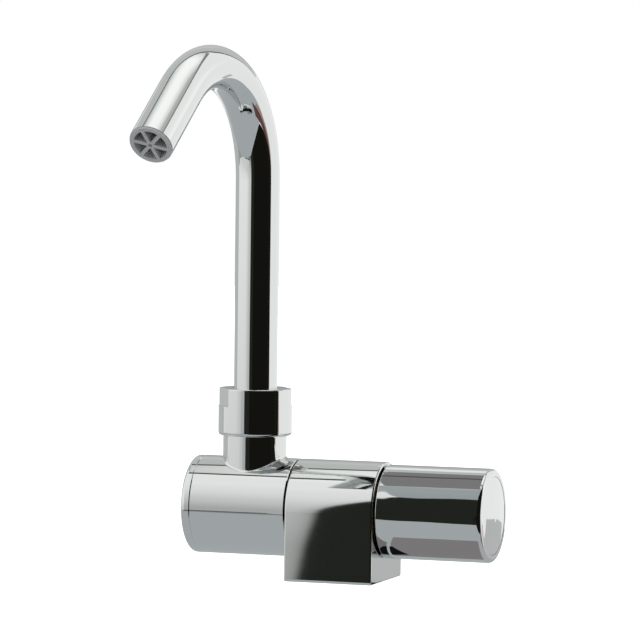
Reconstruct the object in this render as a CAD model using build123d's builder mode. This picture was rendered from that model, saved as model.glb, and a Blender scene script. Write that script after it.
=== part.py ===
"""Folding caravan tap.

A plinth block stands on the worktop. A hollow pivot spindle leaves its left face and carries
a barrel with the swan-neck spout, so that the spout folds down forwards. A quarter-turn
ceramic cartridge is screwed into its right face and carries the control knob. Water enters
under the block, passes the ceramic discs, and leaves through the spindle, the barrel and the spout.

Millimetres. The origin is the centre of the inlet hole on the underside, +Z is up, the knob is
at +X and the spout hooks over towards -Y.
"""

import os
from math import cos, pi, radians, sin

from build123d import *

# Clearances, overruns and angles
slide_clearance = 0.05
seat_clearance = 0.05
seal_clearance = 0.02
overrun = 2.0
quarter_turn = 90.0
half_turn = 2 * quarter_turn

# Swan-neck spout
tube_diameter = 16.0
tube_wall = 1.0
bend_height = 120.0
bend_radius = 40.4
bend_angle = 129.0
tail_length = 29.0
spout_turn = -5.3

# Ferrule brazed on the foot of the spout, its seals and its slip ring
ferrule_wall = 1.8
ferrule_end_gap = 0.4
ferrule_flange_step = 0.65
ferrule_flange_thickness = 2.0
ferrule_flange_lift = 0.2
ferrule_seal_depth = 1.1
ferrule_seal_width = 1.6
ferrule_seal_height = 5.0
ferrule_seal_pitch = 7.0
tube_foot_ledge = 2.0
slip_ring_thickness = 3.0
slip_ring_play = 0.1
slip_ring_split = 1.5

# Flow straightener pressed into the mouth of the spout
straightener_length = 8.0
straightener_flange_thickness = 0.8
straightener_flange_inset = 0.3
straightener_rim = 0.9
spoke_count = 6
spoke_width = 1.3
spoke_turn = 12.0
spoke_hub_radius = 1.5
hub_dimple_radius = 0.7
hub_dimple_depth = 0.6

# Pivot spindle and its seals
journal_diameter = 19.9
spindle_thread_diameter = 16.0
spindle_thread_length = 7.8
spindle_bore_diameter = 9.0
spindle_port_diameter = 5.0
spindle_channel_depth = 1.75
spindle_channel_width = 11.6
spindle_plug_length = 9.2
spindle_flat_depth = 1.4
spindle_flat_length = 3.0
spindle_seal_depth = 1.75
spindle_seal_width = 2.6
spindle_seal_spread = 9.6

# Barrel that folds on the spindle, with the boss that carries the spout
barrel_wall = 2.3
barrel_gap = 0.4
barrel_end_reach = 19.0
barrel_edge_chamfer = 0.2
boss_rise = 7.8
boss_wall = 1.85
boss_fillet = 1.0
neck_length = 10.2
neck_wall = 1.35
socket_floor_wall = 3.6
riser_passage_diameter = 11.0

# Union nut over the boss
nut_wall = 2.3
nut_gap = 0.3
nut_side_gap = 4.3
nut_lip_thickness = 2.0
nut_lip_clearance = 0.15
nut_flat_depth = 1.6
nut_flat_height = 6.6
nut_turn = 35.0
nut_foot_radius = 1.2
nut_top_radius = 0.5

# Washers, stop pin and screw of the fold joint
inner_washer_thickness = 1.2
inner_washer_width = 2.3
washer_play = 0.05
outer_washer_thickness = 1.0
outer_washer_width = 2.9
pin_diameter = 2.4
pin_clearance = 0.15
pin_land = 0.65
pin_seat_depth = 5.0
pin_reach = 2.2
pin_end_gap = 0.3
fold_range = quarter_turn
fold_play = 1.0
retainer_thickness = 1.6
retainer_edge_gap = 0.8
screw_thread_diameter = 5.0
screw_hole_depth = 7.0
screw_shank_length = 7.4
screw_clearance = 0.7
screw_head_radius = 5.2
screw_head_height = 2.5
screw_socket_size = 4.0
screw_socket_depth = 1.6
screw_head_gap = 0.3

# Cap on the barrel's left end
end_cap_thickness = 3.6
end_cap_face = 2.2
end_cap_edge_radius = 1.7
end_cap_spigot_length = 2.2
end_cap_spigot_wall = 2.4
end_cap_seal_depth = 0.95
end_cap_seal_width = 1.3
retainer_pocket_width = 4.0

# Plinth block
foot_height = 7.45
divider_wall = 4.4
block_edge_radius = 0.6
foot_edge_radius = 1.0
spindle_socket_spare = 0.2

# Inlet, fixing holes and foot seal under the block
inlet_bore_diameter = 9.0
inlet_bore_depth = 10.0
inlet_passage_diameter = 7.0
fixing_hole_diameter = 5.0
fixing_hole_depth = 12.0
fixing_spacing = 23.0
foot_seal_inset = 1.4
foot_seal_width = 1.8
foot_seal_thickness = 1.5
foot_seal_corner = 3.0

# Ceramic cartridge
cartridge_radius = 8.8
cartridge_wall = 1.75
cartridge_nose_gap = 1.0
chamber_gap = 1.2
chamber_length = 13.0
outlet_port_diameter = 8.0
cartridge_thread_step = 1.0
cartridge_thread_length = 8.0
cartridge_flange_ledge = 2.4
cartridge_flange_thickness = 1.5
cartridge_hex_size = 22.0
cartridge_hex_length = 5.0
cartridge_neck_radius = 7.0
cartridge_neck_length = 5.8
window_width = 9.0
window_length = 4.6
flange_seal_cord = 1.0
flange_seal_ledge = 0.45

# Ceramic discs and the seat seal
seat_seal_bore_diameter = 8.4
seat_seal_length = 2.3
disc_thickness = 3.2
disc_gap = 0.05
disc_port_inner_radius = 1.6
disc_port_outer_radius = 5.2
disc_port_angle = 80.0
disc_lug_width = 3.0
tang_width = 2.6
tang_length = 1.2

# Valve spindle, its stop lug, seals and clip
stem_diameter = 9.1
stem_flange_thickness = 2.5
stop_lug_length = 1.8
stop_lug_angle = 34.0
stop_lug_start = 28.0
stop_lug_play = 2.0
stop_lug_end_gap = 0.3
knob_range = quarter_turn
stem_seal_depth = 1.2
stem_seal_width = 1.9
stem_seal_first = 7.5
stem_seal_pitch = 6.0
stem_seal_count = 2
clip_thickness = 0.8
clip_play = 0.1
clip_depth = 1.0
clip_width = 2.4
clip_opening = 6.0
serration_count = 20
serration_tip_radius = 4.0
serration_depth = 0.35
stem_end_gap = 0.5
knob_screw_thread_diameter = 3.3
knob_screw_hole_depth = 9.0

# Control knob, its insert, screw and cap
knob_gap = 0.7
knob_wall = 2.7
knob_skirt_clearance = 1.0
knob_hub_gap = 2.0
knob_hub_length = 10.0
knob_hub_wall = 2.0
knob_web = 3.0
knob_pocket_length = 10.9
knob_pocket_step = 1.15
knob_rim_radius = 1.5
knob_skirt_radius = 0.4
insert_size = 14.0
insert_end_gap = 0.1
knob_screw_length = 8.0
knob_screw_clearance = 0.5
knob_screw_head_radius = 3.6
knob_screw_head_height = 2.6
knob_screw_slot_width = 1.0
knob_screw_slot_depth = 1.2
knob_cap_rim = 3.0
knob_cap_edge = 2.2
knob_cap_crown = 0.5
knob_cap_sink = 0.1
knob_cap_clearance = 0.12
knob_cap_spigot_length = 4.4
knob_cap_spigot_wall = 1.5

# Radii worked outwards from the spout tube
tube_radius = tube_diameter / 2
tube_bore_radius = tube_radius - tube_wall
ferrule_bore_radius = tube_radius + seat_clearance
ferrule_radius = ferrule_bore_radius + ferrule_wall
ferrule_flange_radius = ferrule_radius + ferrule_flange_step
socket_radius = ferrule_radius + slide_clearance
boss_radius = socket_radius + boss_wall
neck_radius = socket_radius + neck_wall
nut_bore_radius = neck_radius + seat_clearance
nut_radius = nut_bore_radius + nut_wall
nut_upper_bore_radius = ferrule_flange_radius + slide_clearance
nut_lip_radius = tube_radius + nut_lip_clearance

# Radii worked outwards from the pivot spindle
journal_radius = journal_diameter / 2
barrel_bore_radius = journal_radius + slide_clearance
washer_bore_radius = journal_radius + slide_clearance
inner_washer_radius = washer_bore_radius + inner_washer_width
washer_recess_radius = inner_washer_radius + slide_clearance
pin_radius = pin_diameter / 2
stop_groove_width = pin_diameter + 2 * pin_clearance
stop_circle_radius = washer_recess_radius + pin_land + stop_groove_width / 2
barrel_radius = stop_circle_radius + stop_groove_width / 2 + barrel_wall
outer_washer_radius = washer_bore_radius + outer_washer_width
retainer_pocket_radius = barrel_bore_radius + retainer_pocket_width
retainer_radius = retainer_pocket_radius - retainer_edge_gap
axis_height = barrel_radius + foot_height

# Radii worked outwards from the cartridge
cartridge_bore_radius = cartridge_radius - cartridge_wall
disc_radius = cartridge_bore_radius - slide_clearance
chamber_radius = cartridge_radius + chamber_gap
cartridge_thread_radius = chamber_radius + cartridge_thread_step
cartridge_flange_radius = cartridge_thread_radius + cartridge_flange_ledge
knob_bore_radius = cartridge_flange_radius + knob_skirt_clearance
knob_radius = knob_bore_radius + knob_wall
knob_cap_radius = knob_radius - knob_cap_rim
knob_pocket_radius = knob_cap_radius - knob_pocket_step
stem_radius = stem_diameter / 2
stem_bore_radius = stem_radius + slide_clearance
serration_root_radius = serration_tip_radius - serration_depth
knob_hub_radius = insert_size / 2 / cos(pi / spoke_count) + knob_hub_wall

# Stations along the barrel's axis, from the middle of the block
spindle_socket_depth = spindle_thread_length + spindle_socket_spare
block_width = spindle_socket_depth + divider_wall + chamber_length + cartridge_thread_length
right_face = block_width / 2
left_face = -right_face
barrel_right = left_face - barrel_gap
spout_x = left_face - nut_side_gap - nut_radius
barrel_left = spout_x - barrel_end_reach
screw_seat = barrel_left + screw_head_gap + screw_head_height
spindle_left = screw_seat + retainer_thickness
retainer_floor = spindle_left + washer_play + outer_washer_thickness + washer_play
seat_face = right_face - cartridge_thread_length - chamber_length
nose_end = seat_face + cartridge_nose_gap
fixed_disc_start = seat_face + seat_seal_length
turning_disc_start = fixed_disc_start + disc_thickness + disc_gap
stem_start = turning_disc_start + disc_thickness + disc_gap
cartridge_bore_end = stem_start + stem_flange_thickness + disc_gap
flange_end = right_face + cartridge_flange_thickness
hex_end = flange_end + cartridge_hex_length
neck_end = hex_end + cartridge_neck_length
clip_start = neck_end + clip_play
hub_start = neck_end + knob_hub_gap
web_start = hub_start + knob_hub_length
web_end = web_start + knob_web
stem_end = web_start - stem_end_gap
cap_seat = web_end + knob_pocket_length
knob_left = right_face + knob_gap
knob_right = cap_seat + knob_cap_edge + knob_cap_sink

# Heights above the barrel's axis
socket_floor = barrel_bore_radius + socket_floor_wall
boss_top = barrel_radius + boss_rise
neck_top = boss_top + neck_length
ferrule_foot = socket_floor + ferrule_end_gap
tube_foot = ferrule_foot + tube_foot_ledge
flange_bottom = neck_top + ferrule_flange_lift
flange_top = flange_bottom + ferrule_flange_thickness
slip_ring_bottom = flange_top + slip_ring_play
slip_ring_top = slip_ring_bottom + slip_ring_thickness
lip_bottom = slip_ring_top + slip_ring_play
nut_top = lip_bottom + nut_lip_thickness
nut_bottom = boss_top + nut_gap

# Planes and axes
axis_plane = Plane(origin=(0, 0, axis_height), x_dir=(1, 0, 0), z_dir=(0, -1, 0))
barrel_axis = Axis((0, 0, axis_height), (1, 0, 0))
riser_plane = Plane(origin=(spout_x, 0, axis_height), x_dir=(1, 0, 0), z_dir=(0, -1, 0))
riser_axis = Axis((spout_x, 0, axis_height), (0, 0, 1))
foot_plane = Plane(origin=(0, 0, 0), x_dir=(1, 0, 0), z_dir=(0, 0, -1))
hook_direction = (sin(radians(spout_turn)), -cos(radians(spout_turn)), 0)
hook_normal = (-cos(radians(spout_turn)), -sin(radians(spout_turn)), 0)
hook_plane = Plane(origin=(spout_x, 0, axis_height), x_dir=hook_direction, z_dir=hook_normal)


def station_plane(x):
    """A plane square to the barrel's axis, facing +X, with local x along +Y and local y up."""
    return Plane(origin=(x, 0, axis_height), x_dir=(0, 1, 0), z_dir=(1, 0, 0))


def height_plane(z):
    """A level plane on the riser's axis, a height above the barrel's axis."""
    return Plane(origin=(spout_x, 0, axis_height + z))


def section(plane, points):
    """A closed face through the points, for a turned piece."""
    with BuildSketch(plane) as face:
        with BuildLine():
            Polyline(*points, close=True)
        make_face()
    return face.sketch


def grooves(plane, places, width, floor, brim):
    """Seal grooves at places along local x, from a floor radius out to a brim radius."""
    with BuildSketch(plane) as face:
        with Locations(*[(place, (floor + brim) / 2) for place in places]):
            Rectangle(width, brim - floor)
    return face.sketch


def cords(plane, centres, radius):
    """Round seal cords in section, at (along, radius) centres."""
    with BuildSketch(plane) as face:
        with Locations(*centres):
            Circle(radius)
    return face.sketch


def sector(plane, inner_radius, outer_radius, first, sweep_angle):
    """A sector of a ring, from a first angle on through a sweep angle."""
    with BuildSketch(plane) as face:
        with BuildLine():
            inner = CenterArc((0, 0), inner_radius, first, sweep_angle)
            outer = CenterArc((0, 0), outer_radius, first, sweep_angle)
            Line(inner @ 0, outer @ 0)
            Line(inner @ 1, outer @ 1)
        make_face()
    return face.sketch


def disc_ports(plane, turn):
    """Two opposite sector-shaped ways through a ceramic disc."""
    first = turn - disc_port_angle / 2
    return [
        sector(plane, disc_port_inner_radius, disc_port_outer_radius, first + index * half_turn, disc_port_angle)
        for index in range(2)
    ]


def serrated(tip, root):
    """A shaft or bore outline with triangular serrations."""
    step = pi / serration_count
    corners = []
    for index in range(2 * serration_count):
        radius = tip if index % 2 == 0 else root
        corners.append((radius * cos(index * step), radius * sin(index * step)))
    return corners


def finish(piece, name):
    """Labels a finished piece and writes it."""
    piece.part.label = name
    export_step(piece.part, f"parts/{name}.step")


os.makedirs("parts", exist_ok=True)

# Plinth block: a half-round top over a square foot, bored from both sides and from below
with BuildPart() as tap_body:
    with BuildSketch(station_plane(left_face)):
        Circle(barrel_radius)
        with Locations((0, -axis_height / 2)):
            Rectangle(2 * barrel_radius, axis_height)
    extrude(amount=block_width)
    fillet(tap_body.edges().filter_by(Axis.X).group_by(Axis.Z)[0], radius=foot_edge_radius)
    fillet(tap_body.faces().filter_by(Axis.X).edges(), radius=block_edge_radius)
    with Locations(station_plane(right_face)):
        CounterBoreHole(
            radius=chamber_radius,
            counter_bore_radius=cartridge_thread_radius,
            counter_bore_depth=cartridge_thread_length,
            depth=right_face - seat_face,
        )
        Hole(radius=outlet_port_diameter / 2, depth=block_width)
    with Locations(Plane(origin=(left_face, 0, axis_height), z_dir=(-1, 0, 0))):
        Hole(radius=spindle_thread_diameter / 2, depth=spindle_socket_depth)
    with Locations(foot_plane):
        CounterBoreHole(
            radius=inlet_passage_diameter / 2,
            counter_bore_radius=inlet_bore_diameter / 2,
            counter_bore_depth=inlet_bore_depth,
            depth=axis_height,
        )
    with Locations(foot_plane):
        with GridLocations(0, fixing_spacing, 1, 2):
            Hole(radius=fixing_hole_diameter / 2, depth=fixing_hole_depth)
    with Locations(Plane(origin=(left_face, 0, axis_height - stop_circle_radius), z_dir=(-1, 0, 0))):
        Hole(radius=pin_radius, depth=pin_seat_depth)
    seal_outer_x = block_width - 2 * foot_seal_inset
    seal_outer_y = 2 * barrel_radius - 2 * foot_seal_inset
    with BuildSketch(foot_plane):
        RectangleRounded(seal_outer_x, seal_outer_y, foot_seal_corner)
        RectangleRounded(
            seal_outer_x - 2 * foot_seal_width,
            seal_outer_y - 2 * foot_seal_width,
            foot_seal_corner - foot_seal_width,
            mode=Mode.SUBTRACT,
        )
    extrude(amount=-foot_seal_thickness, mode=Mode.SUBTRACT)
finish(tap_body, "tap_body")

# Rubber seal in the groove under the foot, flush with the foot when pulled down
with BuildPart() as foot_seal:
    with BuildSketch(foot_plane):
        RectangleRounded(
            seal_outer_x - 2 * seat_clearance,
            seal_outer_y - 2 * seat_clearance,
            foot_seal_corner - seat_clearance,
        )
        RectangleRounded(
            seal_outer_x - 2 * foot_seal_width + 2 * seat_clearance,
            seal_outer_y - 2 * foot_seal_width + 2 * seat_clearance,
            foot_seal_corner - foot_seal_width + seat_clearance,
            mode=Mode.SUBTRACT,
        )
    extrude(amount=-foot_seal_thickness)
finish(foot_seal, "foot_seal")

# Pivot spindle: a hollow brass journal, ported under the spout and plugged at its left end
spindle_seal_floor = journal_radius - spindle_seal_depth
spindle_seal_places = [spout_x - spindle_seal_spread, spout_x + spindle_seal_spread]
spindle_thread_end = left_face + spindle_thread_length
spindle_thread_radius = spindle_thread_diameter / 2 - seat_clearance
with BuildPart() as pivot_spindle:
    profile = [
        (spindle_thread_end, spindle_bore_diameter / 2),
        (spindle_thread_end, spindle_thread_radius),
        (left_face, spindle_thread_radius),
        (left_face, journal_radius),
        (spindle_left, journal_radius),
        (spindle_left, 0),
        (spindle_left + spindle_plug_length, 0),
        (spindle_left + spindle_plug_length, spindle_bore_diameter / 2),
    ]
    revolve(section(axis_plane, profile), axis=barrel_axis)
    seats = grooves(
        axis_plane, spindle_seal_places, spindle_seal_width, spindle_seal_floor, journal_radius + overrun
    )
    revolve(seats, axis=barrel_axis, mode=Mode.SUBTRACT)
    channel_floor = journal_radius - spindle_channel_depth
    channel = grooves(
        axis_plane, [spout_x], spindle_channel_width, channel_floor, journal_radius + overrun
    )
    revolve(channel, axis=barrel_axis, mode=Mode.SUBTRACT)
    with Locations((spout_x, 0, axis_height)):
        for tilt in (0, quarter_turn):
            Cylinder(
                spindle_port_diameter / 2,
                2 * journal_radius + overrun,
                rotation=(tilt, 0, 0),
                mode=Mode.SUBTRACT,
            )
    with Locations(Plane(origin=(spindle_left, 0, axis_height), z_dir=(-1, 0, 0))):
        Hole(radius=screw_thread_diameter / 2, depth=screw_hole_depth)
    with BuildSketch(station_plane(spindle_left)):
        flat_offset = 2 * journal_radius - spindle_flat_depth
        with Locations((0, flat_offset), (0, -flat_offset)):
            Rectangle(2 * journal_radius + overrun, 2 * journal_radius)
    extrude(amount=spindle_flat_length, mode=Mode.SUBTRACT)
finish(pivot_spindle, "pivot_spindle")

# Two seals of the fold joint, one each side of the ports
spindle_cord = (barrel_bore_radius - slide_clearance - spindle_seal_floor) / 2 - seal_clearance
spindle_cord_centre = spindle_seal_floor + seal_clearance + spindle_cord
with BuildPart() as pivot_seals:
    centres = [(place, spindle_cord_centre) for place in spindle_seal_places]
    revolve(cords(axis_plane, centres, spindle_cord), axis=barrel_axis)
finish(pivot_seals, "pivot_seals")

# Barrel that folds on the spindle, with the boss and threaded neck for the spout
groove_start = half_turn - fold_play
groove_sweep = fold_range + 2 * fold_play
with BuildPart() as swivel_barrel:
    with BuildSketch(station_plane(barrel_left)):
        Circle(barrel_radius)
    extrude(amount=barrel_right - barrel_left)
    chamfer(swivel_barrel.edges().filter_by(GeomType.CIRCLE), length=barrel_edge_chamfer)
    with BuildSketch(height_plane(0)):
        Circle(boss_radius)
    extrude(amount=boss_top)
    saddle = swivel_barrel.edges().filter_by(GeomType.BSPLINE)
    fillet(saddle, radius=boss_fillet)
    with BuildSketch(height_plane(boss_top)):
        Circle(neck_radius)
    extrude(amount=neck_length)
    with Locations(height_plane(neck_top)):
        CounterBoreHole(
            radius=riser_passage_diameter / 2,
            counter_bore_radius=socket_radius,
            counter_bore_depth=neck_top - socket_floor,
            depth=neck_top,
        )
    with Locations(station_plane(barrel_right)):
        Hole(radius=barrel_bore_radius, depth=barrel_right - barrel_left)
    recess_depth = inner_washer_thickness + washer_play - barrel_gap
    with BuildSketch(station_plane(barrel_right)):
        Circle(washer_recess_radius)
    extrude(amount=-recess_depth, mode=Mode.SUBTRACT)
    with BuildSketch(station_plane(barrel_right)):
        with BuildLine():
            CenterArc((0, 0), stop_circle_radius, groove_start, groove_sweep)
            offset(amount=stop_groove_width / 2)
        make_face()
    extrude(amount=-(pin_reach + pin_end_gap), mode=Mode.SUBTRACT)
    with BuildSketch(station_plane(barrel_left)):
        Circle(retainer_pocket_radius)
    extrude(amount=retainer_floor - barrel_left, mode=Mode.SUBTRACT)
finish(swivel_barrel, "swivel_barrel")

# Acetal washers that the barrel turns between
with BuildPart() as inner_thrust_washer:
    with BuildSketch(station_plane(left_face)):
        Circle(inner_washer_radius)
        Circle(washer_bore_radius, mode=Mode.SUBTRACT)
    extrude(amount=-inner_washer_thickness)
finish(inner_thrust_washer, "inner_thrust_washer")

with BuildPart() as outer_thrust_washer:
    with BuildSketch(station_plane(spindle_left)):
        Circle(outer_washer_radius)
        Circle(washer_bore_radius, mode=Mode.SUBTRACT)
    extrude(amount=outer_washer_thickness)
finish(outer_thrust_washer, "outer_thrust_washer")

# Brass retaining washer and button-head screw on the end of the spindle
with BuildPart() as retaining_washer:
    with BuildSketch(station_plane(screw_seat)):
        Circle(retainer_radius)
        Circle(screw_thread_diameter / 2 + screw_clearance, mode=Mode.SUBTRACT)
    extrude(amount=retainer_thickness)
finish(retaining_washer, "retaining_washer")

with BuildPart() as retaining_screw:
    with BuildSketch(station_plane(screw_seat)):
        Circle(screw_head_radius)
    extrude(amount=-screw_head_height)
    crown = retaining_screw.faces().sort_by(Axis.X)[0].edges()
    fillet(crown, radius=screw_head_height / 2)
    with BuildSketch(station_plane(screw_seat)):
        Circle(screw_thread_diameter / 2 - seat_clearance)
    extrude(amount=screw_shank_length)
    with BuildSketch(station_plane(screw_seat - screw_head_height)):
        RegularPolygon(screw_socket_size / 2, 6, major_radius=False)
    extrude(amount=screw_socket_depth, mode=Mode.SUBTRACT)
finish(retaining_screw, "retaining_screw")

# Stop pin in the block's left face, which runs in the barrel's curved groove
with BuildPart() as stop_pin:
    pin_root = Plane(
        origin=(left_face + pin_seat_depth, 0, axis_height - stop_circle_radius), z_dir=(-1, 0, 0)
    )
    with BuildSketch(pin_root):
        Circle(pin_radius - seat_clearance)
    extrude(amount=pin_seat_depth + barrel_gap + pin_reach)
    chamfer(stop_pin.edges().filter_by(GeomType.CIRCLE), length=pin_end_gap)
finish(stop_pin, "stop_pin")

# Cap that plugs the barrel's left end, held by a seal on its spigot
end_cap_spigot_radius = retainer_pocket_radius - seat_clearance
end_cap_seal_floor = end_cap_spigot_radius - end_cap_seal_depth
end_cap_seal_place = barrel_left + end_cap_spigot_length / 2
with BuildPart() as barrel_end_cap:
    spigot_bore = end_cap_spigot_radius - end_cap_spigot_wall
    profile = [
        (barrel_left - end_cap_thickness, 0),
        (barrel_left - end_cap_thickness, barrel_radius),
        (barrel_left, barrel_radius),
        (barrel_left, end_cap_spigot_radius),
        (barrel_left + end_cap_spigot_length, end_cap_spigot_radius),
        (barrel_left + end_cap_spigot_length, spigot_bore),
        (barrel_left - end_cap_thickness + end_cap_face, spigot_bore),
        (barrel_left - end_cap_thickness + end_cap_face, 0),
    ]
    revolve(section(axis_plane, profile), axis=barrel_axis)
    rim = barrel_end_cap.faces().sort_by(Axis.X)[0].edges()
    fillet(rim, radius=end_cap_edge_radius)
    joint_edge = barrel_end_cap.edges().filter_by(GeomType.CIRCLE).sort_by(SortBy.RADIUS)[-1]
    chamfer(joint_edge, length=barrel_edge_chamfer)
    seat = grooves(
        axis_plane,
        [end_cap_seal_place],
        end_cap_seal_width,
        end_cap_seal_floor,
        end_cap_spigot_radius + overrun,
    )
    revolve(seat, axis=barrel_axis, mode=Mode.SUBTRACT)
finish(barrel_end_cap, "barrel_end_cap")

end_cap_cord = (retainer_pocket_radius - end_cap_seal_floor) / 2 - seal_clearance
with BuildPart() as end_cap_seal:
    centre = (end_cap_seal_place, end_cap_seal_floor + seal_clearance + end_cap_cord)
    revolve(cords(axis_plane, [centre], end_cap_cord), axis=barrel_axis)
finish(end_cap_seal, "end_cap_seal")

# Union nut, with two spanner flats cut down from its top
with BuildPart() as union_nut:
    profile = [
        (nut_bore_radius, nut_bottom),
        (nut_radius, nut_bottom),
        (nut_radius, nut_top),
        (nut_lip_radius, nut_top),
        (nut_lip_radius, lip_bottom),
        (nut_upper_bore_radius, lip_bottom),
        (nut_upper_bore_radius, neck_top + seat_clearance),
        (nut_bore_radius, neck_top + seat_clearance),
    ]
    revolve(section(riser_plane, profile), axis=riser_axis)
    outer_edges = union_nut.edges().filter_by(GeomType.CIRCLE).sort_by(SortBy.RADIUS)[-2:].sort_by(Axis.Z)
    fillet(outer_edges[0], radius=nut_foot_radius)
    top_edge = union_nut.edges().filter_by(GeomType.CIRCLE).sort_by(SortBy.RADIUS)[-2:].sort_by(Axis.Z)[-1]
    fillet(top_edge, radius=nut_top_radius)
    with BuildSketch(height_plane(nut_top)):
        flat_centre = 2 * nut_radius - nut_flat_depth
        with PolarLocations(flat_centre, 2, start_angle=nut_turn):
            Rectangle(2 * nut_radius, 2 * nut_radius + overrun)
    extrude(amount=-nut_flat_height, mode=Mode.SUBTRACT)
finish(union_nut, "union_nut")

# Ferrule brazed on the foot of the spout, with two seal grooves and a flange
ferrule_seal_floor = ferrule_radius - ferrule_seal_depth
ferrule_seal_places = [
    ferrule_foot + ferrule_seal_height,
    ferrule_foot + ferrule_seal_height + ferrule_seal_pitch,
]
with BuildPart() as spout_ferrule:
    profile = [
        (tube_bore_radius, ferrule_foot),
        (ferrule_radius, ferrule_foot),
        (ferrule_radius, flange_bottom),
        (ferrule_flange_radius, flange_bottom),
        (ferrule_flange_radius, flange_top),
        (ferrule_bore_radius, flange_top),
        (ferrule_bore_radius, tube_foot),
        (tube_bore_radius, tube_foot),
    ]
    revolve(section(riser_plane, profile), axis=riser_axis)
    with BuildSketch(riser_plane):
        brim = ferrule_radius + overrun
        with Locations(*[((ferrule_seal_floor + brim) / 2, place) for place in ferrule_seal_places]):
            Rectangle(brim - ferrule_seal_floor, ferrule_seal_width)
    revolve(axis=riser_axis, mode=Mode.SUBTRACT)
finish(spout_ferrule, "spout_ferrule")

ferrule_cord = (ferrule_radius - ferrule_seal_floor) / 2 - seal_clearance
with BuildPart() as spout_seals:
    cord_centre = ferrule_seal_floor + seal_clearance + ferrule_cord
    centres = [(cord_centre, place) for place in ferrule_seal_places]
    revolve(cords(riser_plane, centres, ferrule_cord), axis=riser_axis)
finish(spout_seals, "spout_seals")

# Split slip ring between the ferrule's flange and the nut's lip
with BuildPart() as slip_ring:
    with BuildSketch(height_plane(slip_ring_bottom)):
        Circle(ferrule_flange_radius)
        Circle(tube_radius + slide_clearance, mode=Mode.SUBTRACT)
        with Locations((0, ferrule_flange_radius)):
            Rectangle(slip_ring_split, 2 * ferrule_flange_radius, mode=Mode.SUBTRACT)
    extrude(amount=slip_ring_thickness)
finish(slip_ring, "slip_ring")

# Swan-neck tube: a straight riser, one bend and a straight tail
with BuildPart() as spout_tube:
    with BuildLine(hook_plane) as spout_line:
        riser = Line((0, tube_foot), (0, bend_height))
        bend = JernArc(riser @ 1, riser % 1, bend_radius, -bend_angle)
        tail = PolarLine(bend @ 1, tail_length, direction=bend % 1)
    with BuildSketch(Plane(origin=spout_line.line @ 0, z_dir=(0, 0, 1))):
        Circle(tube_radius)
        Circle(tube_bore_radius, mode=Mode.SUBTRACT)
    sweep(path=spout_line.line)
finish(spout_tube, "spout_tube")

mouth = Plane(origin=spout_line.line @ 1, x_dir=hook_normal, z_dir=spout_line.line % 1)

# Moulded flow straightener: a plug with six wedge-shaped ways between its spokes
with BuildPart() as flow_straightener:
    with BuildSketch(mouth):
        Circle(tube_radius - straightener_flange_inset)
    extrude(amount=straightener_flange_thickness)
    with BuildSketch(mouth):
        Circle(tube_bore_radius - seat_clearance)
    extrude(amount=-straightener_length)
    with BuildSketch(mouth.offset(straightener_flange_thickness)):
        Circle(tube_bore_radius - straightener_rim)
        with PolarLocations(0, spoke_count, start_angle=spoke_turn):
            Rectangle(tube_radius, spoke_width, align=(Align.MIN, Align.CENTER), mode=Mode.SUBTRACT)
        Circle(spoke_hub_radius, mode=Mode.SUBTRACT)
    extrude(amount=-(straightener_length + straightener_flange_thickness), mode=Mode.SUBTRACT)
    with Locations(mouth.offset(straightener_flange_thickness)):
        Hole(radius=hub_dimple_radius, depth=hub_dimple_depth)
finish(flow_straightener, "flow_straightener")

# Cartridge housing: screwed into the block, with a hexagon and a neck inside the knob.
# A pocket in its shoulder holds the spindle's lug to a quarter turn.
with BuildPart() as cartridge_body:
    thread_start = right_face - cartridge_thread_length
    thread_radius = cartridge_thread_radius - seat_clearance
    profile = [
        (nose_end, cartridge_bore_radius),
        (nose_end, cartridge_radius),
        (thread_start + seat_clearance, cartridge_radius),
        (thread_start + seat_clearance, thread_radius),
        (right_face, thread_radius),
        (right_face, cartridge_flange_radius),
        (flange_end, cartridge_flange_radius),
        (flange_end, cartridge_neck_radius),
        (neck_end, cartridge_neck_radius),
        (neck_end, stem_bore_radius),
        (cartridge_bore_end, stem_bore_radius),
        (cartridge_bore_end, cartridge_bore_radius),
    ]
    revolve(section(axis_plane, profile), axis=barrel_axis)
    with BuildSketch(station_plane(flange_end)):
        RegularPolygon(cartridge_hex_size / 2, 6, major_radius=False)
        Circle(cartridge_neck_radius, mode=Mode.SUBTRACT)
    extrude(amount=cartridge_hex_length)
    window_start = turning_disc_start + disc_gap
    with Locations((window_start + window_length / 2, 0, axis_height)):
        Box(window_length, 2 * chamber_radius, window_width, mode=Mode.SUBTRACT)
    with Locations((nose_end, 0, axis_height)):
        Box(
            turning_disc_start - disc_gap - nose_end,
            disc_lug_width + 2 * slide_clearance,
            2 * chamber_radius,
            align=(Align.MIN, Align.CENTER, Align.CENTER),
            mode=Mode.SUBTRACT,
        )
    pocket = sector(
        station_plane(cartridge_bore_end),
        stem_radius,
        cartridge_bore_radius,
        stop_lug_start - stop_lug_play,
        knob_range + stop_lug_angle + 2 * stop_lug_play,
    )
    extrude(pocket, amount=stop_lug_length + stop_lug_end_gap, mode=Mode.SUBTRACT)
    flange_seal_centre = cartridge_thread_radius + flange_seal_ledge + flange_seal_cord / 2
    seal_room = flange_seal_cord + 2 * seal_clearance
    with BuildSketch(axis_plane):
        with Locations((right_face + flange_seal_cord / 2, flange_seal_centre)):
            Rectangle(seal_room, seal_room)
    revolve(axis=barrel_axis, mode=Mode.SUBTRACT)
finish(cartridge_body, "cartridge_body")

with BuildPart() as cartridge_seal:
    centre = (right_face + flange_seal_cord / 2, flange_seal_centre)
    revolve(cords(axis_plane, [centre], flange_seal_cord / 2 - seal_clearance), axis=barrel_axis)
finish(cartridge_seal, "cartridge_seal")

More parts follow.
